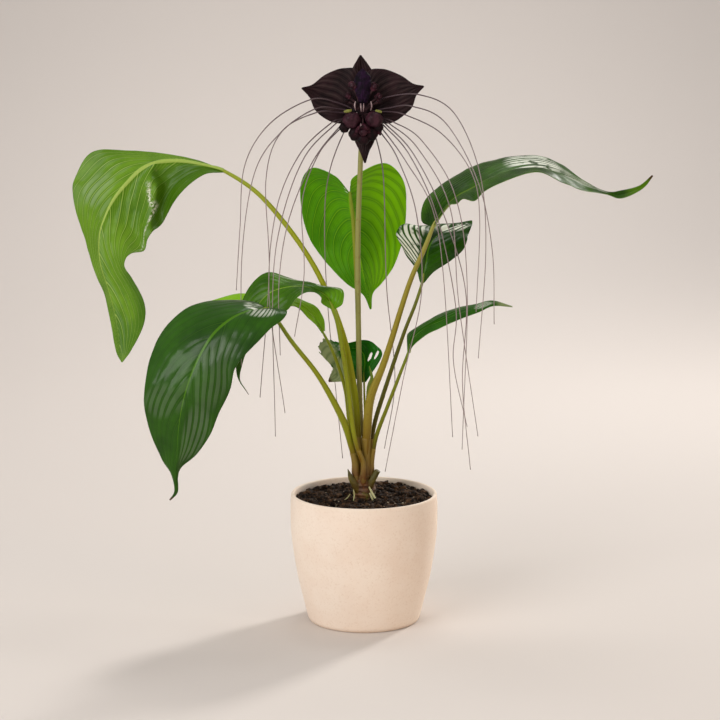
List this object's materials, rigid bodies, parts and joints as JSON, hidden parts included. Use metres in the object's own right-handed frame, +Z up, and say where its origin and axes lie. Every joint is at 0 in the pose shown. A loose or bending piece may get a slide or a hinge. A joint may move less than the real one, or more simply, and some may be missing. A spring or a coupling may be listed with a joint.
{
  "type": "potted bat flower",
  "caption": "Houseplant with large arching leaves and one dark winged bloom with long hanging whiskers, growing upright in a plain round tapered pot filled with soil.",
  "frame": {"origin": "centre of the pot's flat foot, on the floor", "axes": "+Z up along the pot's axis; -Y is the front, where the bloom faces; +X is to the right seen from the front"},
  "size_m": [0.6683, 0.2275, 0.6501],
  "materials": {
    "pot_ceramic": "matte",
    "soil": "matte",
    "crown": "matte",
    "leaf_tall_left": "satin",
    "leaf_low_left": "gloss",
    "leaf_back": "satin",
    "leaf_tall_right": "gloss",
    "leaf_mid_right": "gloss",
    "leaf_low_right": "gloss",
    "leaf_mid_left": "gloss",
    "leaf_small_left": "satin",
    "leaf_young": "gloss",
    "shoot": "satin",
    "scape": "satin",
    "bracts": "satin",
    "florets": "satin",
    "whiskers": "matte"
  },
  "bodies": {
    "root": {"pot": "pot_ceramic", "soil": "soil", "crown": "crown", "leaf_tall_left": "leaf_tall_left", "leaf_low_left": "leaf_low_left", "leaf_back": "leaf_back", "leaf_tall_right": "leaf_tall_right", "leaf_mid_right": "leaf_mid_right", "leaf_low_right": "leaf_low_right", "leaf_mid_left": "leaf_mid_left", "leaf_small_left": "leaf_small_left", "leaf_young": "leaf_young", "shoot": "shoot", "scape": "scape", "bracts": "bracts", "florets": "florets", "whiskers": "whiskers"}
  },
  "joints": []
}
